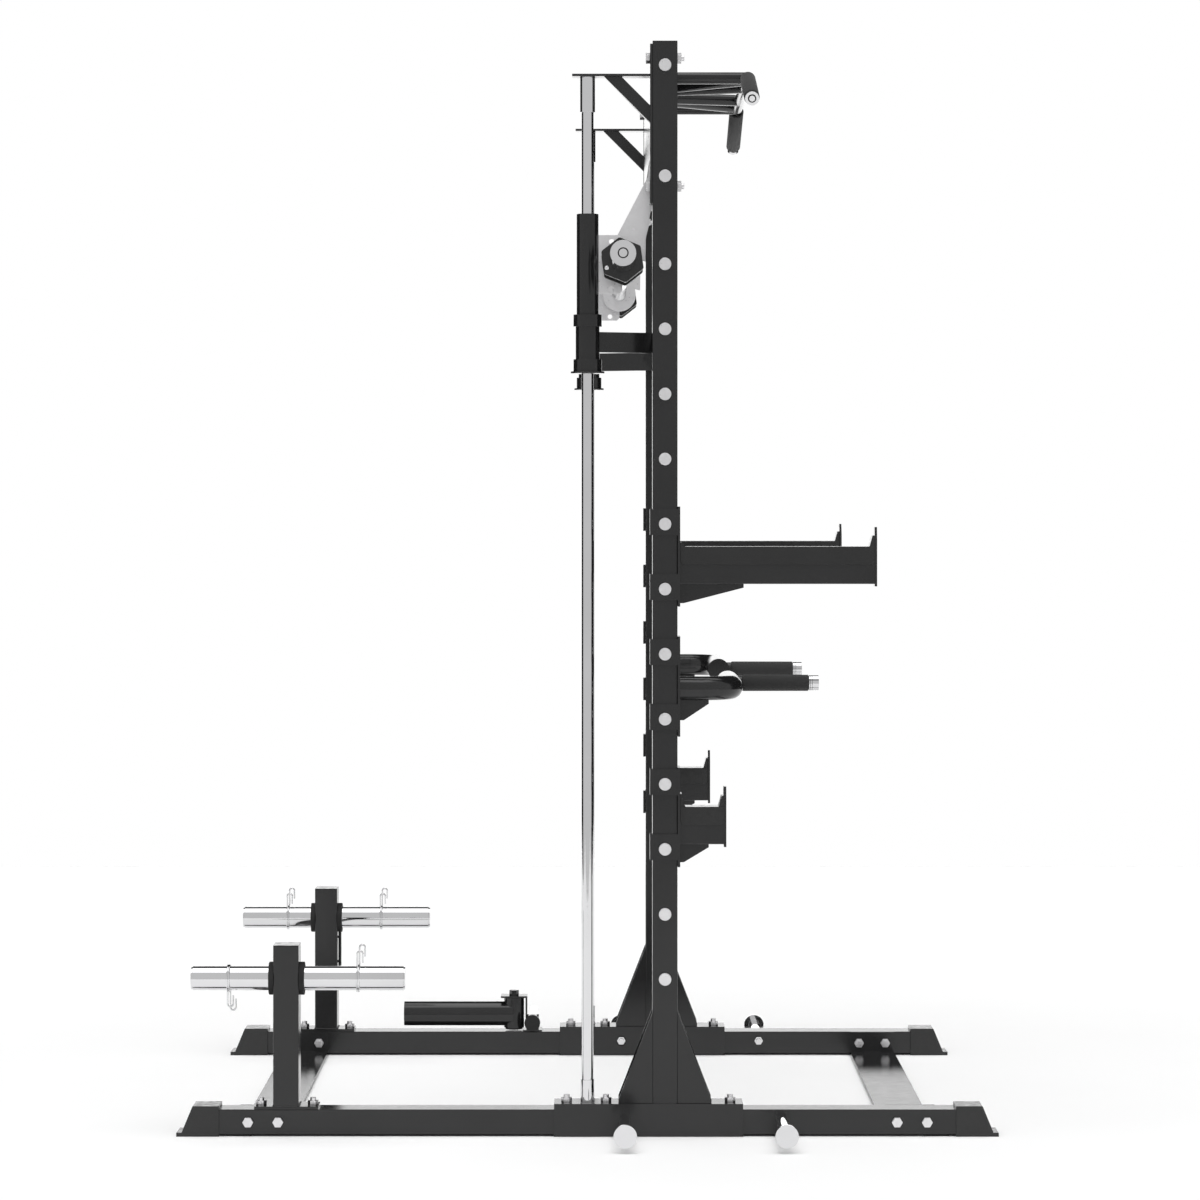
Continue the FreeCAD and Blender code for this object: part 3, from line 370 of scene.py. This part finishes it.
def skirt(name, body, outline, y0, y1):
    """A liner's side: a plate in the X-Z plane between two depths, with rounded edges."""
    count = len(outline)
    points = [(x, y, z) for y in (y0, y1) for x, z in outline]
    faces = [tuple(range(count)), tuple(reversed(range(count, 2 * count)))]
    faces += [(corner, count + corner, count + (corner + 1) % count, (corner + 1) % count)
              for corner in range(count)]
    made = added(name, "black_plastic", body, points, faces)
    edge = made.modifiers.new("Edge", "BEVEL")
    edge.width = SKIRT_EDGE * MM
    edge.segments = 3
    smooth(made)
    made.modifiers.new("Even", "WEIGHTED_NORMAL")


def liner_skirts():
    """The liners' sides, which reach down over both faces of each arm and carry the liner on it."""
    for side, way in SIDES.items():
        for arm, body in (("spotter", "_spotter"), ("j_hook", "_hook")):
            liner = f"{side}_{arm}_liner"
            low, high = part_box(liner)
            x0, x1, seat = low[0] / MM + SKIRT_INSET, high[0] / MM - SKIRT_INSET, low[2] / MM
            top, foot = seat + SKIRT_RISE, seat - SKIRT_DROP
            long, tall = SKIRT_CORNER
            outline = [(x0, top), (x1, top), (x1, foot + tall), (x1 - long, foot), (x0 + long, foot),
                       (x0, foot + tall)]
            for face, out in (("outer", way), ("inner", -way)):
                near, far = sorted(middle(liner)[1] + out * depth for depth in SKIRT_DEPTHS)
                skirt(f"{side}_{arm}_{face}_skirt", side + body, outline, near, far)


WELD_RADIUS = 2.0
WELD_STEP = 3.4
WELD_ROWS = 3
WELD_RIPPLE = 0.14
WELD_TIP = 0.3
WELD_TAPER = 1.5
WELD_FACETS = 10


def weld_beads(name, runs):
    """Painted weld beads: scalloped rounds along straight runs, each a start and an end in mm."""
    points, faces = [], []
    for start, end in runs:
        start, end = Vector(start), Vector(end)
        across, other = axes(end - start)[1:]
        rows = max(4, int((end - start).length / WELD_STEP) * WELD_ROWS)
        first = len(points)
        for row in range(rows + 1):
            taper = min(1, min(row, rows - row) / WELD_TAPER + WELD_TIP)
            ripple = 1 - WELD_RIPPLE + WELD_RIPPLE * math.sin(math.tau * row / WELD_ROWS)
            points += circle(start.lerp(end, row / rows), across, other, WELD_RADIUS * taper * ripple,
                             WELD_FACETS)
        for row in range(rows):
            faces += strip(first + row * WELD_FACETS, first + (row + 1) * WELD_FACETS, WELD_FACETS)
        faces += [tuple(range(first + WELD_FACETS - 1, first - 1, -1)),
                  tuple(range(first + rows * WELD_FACETS, first + (rows + 1) * WELD_FACETS))]
    smooth(added(name, "black_steel", "frame", points, faces))


def welds():
    """Beads round the storage posts' feet and along the uprights' feet."""
    for side, way in SIDES.items():
        low, high = way * SIDE_Y - TUBE_HALF, way * SIDE_Y + TUBE_HALF
        corners = [(x, y, POST_BASE) for x, y in ((POST_X[0], low), (POST_X[1], low), (POST_X[1], high),
                                                  (POST_X[0], high))]
        weld_beads(side + "_storage_post_weld", zip(corners, corners[1:] + corners[:1]))
        weld_beads(side + "_upright_weld", [[(x, y, DECK) for x in UPRIGHT_X] for y in (low, high)])


PULL_UP_FOAM = {"outer": 15.9, "inner": 12.35, "corner": 3.0}
PULL_UP_BARE = (12.1, 14.1)
DIP_FOAM = {"outer": 16.95, "inner": 13.1, "corner": 4.0}


def pull_up_end(way):
    """The bend, the tip and the direction between them of one end of the pull-up bar."""
    bend, tip = (Vector((x, way * y, z)) for x, y, z in (PULL_UP_BEND, PULL_UP_TIP))
    return bend, tip, (tip - bend).normalized()


def foam_grips():
    """The foam sleeves on the pull-up bar's bent ends and on both dip handles."""
    for side, way in SIDES.items():
        bend, tip, down = pull_up_end(way)
        long = (tip - bend).length - sum(PULL_UP_BARE)
        grip = turned(side + "_pull_up_grip", "foam", "frame", bend + down * PULL_UP_BARE[0], down,
                      sleeve(long, **PULL_UP_FOAM), closed=True)
        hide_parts("pull_up_grips")
        low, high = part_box(side + "_dip_grip")
        y, z = middle(side + "_dip_grip")[1:]
        grip = turned(side + "_dip_foam", "foam", side + "_dip", (low[0] / MM, y, z), (1, 0, 0),
                      sleeve((high[0] - low[0]) / MM, **DIP_FOAM), closed=True)
        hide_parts(side + "_dip_grip")


# A black ring laid in the sleeve end's groove: painted shade in the groove.
SLEEVE_GROOVE_SHADE = ring(8.1, 10.4, 2.5)
SLEEVE_GROOVE_SHADE_IN = 2.9
# A black hexagon on the sleeve bolt's end: painted shade of its socket.
SLEEVE_SOCKET_SHADE = [(0, 3.1), (0.49, 3.1)]
SLEEVE_SOCKET_SHADE_IN = 0.5
COLLAR_SCREW = [(0, 4.0), (2.2, 4.0), (3.0, 3.0)]
COLLAR_SCREW_AT = (-31, 733.5, -16)


def sleeve_ends():
    """Painted shade in each plate sleeve's end: a black ring in its groove and a black hexagon for its
    bolt's socket; and a screw in its outer collar.
    """
    x, z = BAR_AXIS
    ahead, out, up = COLLAR_SCREW_AT
    for side, way in SIDES.items():
        body = side + "_sleeve"
        # Black ring in the end groove: painted shade.
        turned(side + "_sleeve_groove_shade", "rubber", body, (x, way * (SLEEVE_END - SLEEVE_GROOVE_SHADE_IN), z),
               (0, way, 0), SLEEVE_GROOVE_SHADE, closed=True)
        # Black hexagon on the bolt's end: the socket's painted shade.
        turned(side + "_sleeve_bolt_socket_shade", "rubber", body, (x, way * (SLEEVE_END - SLEEVE_SOCKET_SHADE_IN), z),
               (0, way, 0), SLEEVE_SOCKET_SHADE, facets=6)
        turned(side + "_collar_screw", "zinc", body, (x + ahead, way * out, z + up), (0, way, 0),
               COLLAR_SCREW, facets=24)


CAP_RING = ring(6.1, 8.6, 0.6)
CAP_RING_IN = 0.2
# A black hexagon on the cap's screw: painted shade of its socket.
CAP_SOCKET_SHADE = [(0, 2.6), (0.35, 2.6)]
CAP_SOCKET_SHADE_OUT = 1.6


def cap_screws():
    """A black ring in each pull-up cap's end, and a black hexagon on its screw as the socket's painted
    shade.
    """
    for side, way in SIDES.items():
        tip, down = pull_up_end(way)[1:]
        turned(side + "_cap_ring", "rubber", "frame", tip - down * CAP_RING_IN, down, CAP_RING, closed=True)
        # Black hexagon on the screw: the socket's painted shade.
        turned(side + "_cap_socket_shade", "rubber", "frame", tip + down * CAP_SOCKET_SHADE_OUT, down, CAP_SOCKET_SHADE,
               facets=6)


HANDLE_RING = ring(15.0, 15.54, 0.8)
HANDLE_RINGS_AT = {"near": 2.0, "far": 6.0}


def handle_rings():
    """Two dark rings at the chrome tip of each dip handle."""
    for side in SIDES:
        grip_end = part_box(side + "_dip_grip")[1][0] / MM
        y, z = middle(side + "_dip_grip")[1:]
        for place, ahead in HANDLE_RINGS_AT.items():
            turned(f"{side}_handle_{place}_ring", "rubber", side + "_dip", (grip_end + ahead, y, z),
                   (1, 0, 0), HANDLE_RING, closed=True)


PIN_X = -573.5
PIN_BOTTOM = 203
PIN = [(0, 3.4), (77, 3.4), (78, 2.6)]
PIN_TIP_BOTTOM = 195
PIN_TIP = [(0, 2.6), (1, 3.4), (8.1, 3.4)]
CLIP = [(0, 3.0), (4.4, 3.0)]
CLIP_BEHIND = 4.6
CLIPS_AT = {"low": 212, "high": 268}


def storage_pin():
    """A thin black pin with a bright lower end, clipped to the front face of the left storage post."""
    up = (0, 0, 1)
    turned("storage_pin", "black_steel", "frame", (PIN_X, SIDE_Y, PIN_BOTTOM), up, PIN, facets=32)
    turned("storage_pin_tip", "chrome", "frame", (PIN_X, SIDE_Y, PIN_TIP_BOTTOM), up, PIN_TIP, facets=32)
    for place, z in CLIPS_AT.items():
        turned(f"storage_pin_{place}_clip", "black_steel", "frame", (PIN_X - CLIP_BEHIND, SIDE_Y, z),
               (1, 0, 0), CLIP, facets=24)


liner_skirts()
welds()
foam_grips()
sleeve_ends()
cap_screws()
handle_rings()
storage_pin()


# ---- floor, light and camera ----

# Small enough that the upper parts of the guide rods mirror the wall and not the floor.
FLOOR_REACH = 5


def floor():
    """A plain pale floor."""
    mesh = bpy.data.meshes.new("floor")
    corners = [(x * FLOOR_REACH, y * FLOOR_REACH, 0) for x, y in ((-1, -1), (1, -1), (1, 1), (-1, 1))]
    mesh.from_pydata(corners, [], [(0, 1, 2, 3)])
    plane = bpy.data.objects.new("floor", mesh)
    bpy.context.scene.collection.objects.link(plane)
    made = Surface("pale_floor", roughness=0.7, specular=0.0)
    made.tint(made.noise(3), grey(0.965), grey(0.975))
    mesh.materials.append(made.material)


# The light's strengths.
WALL = 0.67
GAP = 0.02
OVERHEAD = 2.5
WINDOW = 1.7
# Where one light fades into the next, by the parts of a direction's unit vector.
BEHIND_Y = (-0.02, 0.08)
OVERHEAD_Z = (0.68, 0.80)
OVERHEAD_RISE = 0.14
OVERHEAD_MIRRORED_RISE = 0.17
WINDOW_X = (0.34, 0.26)
WINDOW_Z = (0.24, 0.16)


def studio():
    """Soft light from overhead, pale walls, and a dark frame behind that gives the chrome its lines.

    On the camera's side the overhead light is narrower in a mirror than it is for soft light.
    """
    world = bpy.data.worlds.new("studio")
    bpy.context.scene.world = world
    world.use_nodes = True
    sky = Graph(world.node_tree)
    sky.tree.nodes.clear()

    def fade(source, edges):
        return sky.spread(source, 0.0, 1.0, *edges, shape="SMOOTHSTEP")

    def other(source):
        return sky.math("SUBTRACT", 1.0, source)

    def both(first, second):
        return sky.math("MULTIPLY", first, second)

    way = sky.add("ShaderNodeSeparateXYZ", {0: sky.add("ShaderNodeTexCoord").outputs["Generated"]})
    x, y, z = way.outputs
    ray = sky.add("ShaderNodeLightPath").outputs
    behind = fade(y, BEHIND_Y)
    mirrored = both(ray["Is Glossy Ray"], other(behind))
    rise = sky.math("ADD", both(behind, OVERHEAD_RISE), both(mirrored, OVERHEAD_MIRRORED_RISE))
    overhead = fade(sky.math("SUBTRACT", z, rise), OVERHEAD_Z)
    window = both(fade(sky.math("ABSOLUTE", x), WINDOW_X), fade(z, WINDOW_Z))
    wall = sky.math("SUBTRACT", WALL, both(both(behind, other(window)), WALL - GAP))
    wall = sky.math("ADD", wall, both(both(behind, window), WINDOW - WALL))
    strength = sky.math("ADD", both(wall, other(overhead)), both(overhead, OVERHEAD))
    seen = ray["Is Camera Ray"]
    strength = sky.math("ADD", both(strength, other(seen)), seen)
    light = sky.add("ShaderNodeBackground", {"Strength": strength}, {"Color": (1, 1, 1, 1)})
    sky.add("ShaderNodeOutputWorld", {"Surface": light.outputs[0]})


CAMERA_AT = (0.023, -8.115, 1.267)
LENS = 112.95
SENSOR = 36
SHIFT = (0.0008, -0.0808)


def camera():
    """A long lens at chest height, square to the rack's right side."""
    lens = bpy.data.cameras.new("camera")
    lens.lens = LENS
    lens.sensor_width = SENSOR
    lens.shift_x, lens.shift_y = SHIFT
    made = bpy.data.objects.new("camera", lens)
    made.location = CAMERA_AT
    made.rotation_euler = (math.radians(90), 0, 0)
    bpy.context.scene.collection.objects.link(made)
    bpy.context.scene.camera = made


floor()
studio()
camera()
bpy.context.scene.view_settings.view_transform = "Standard"
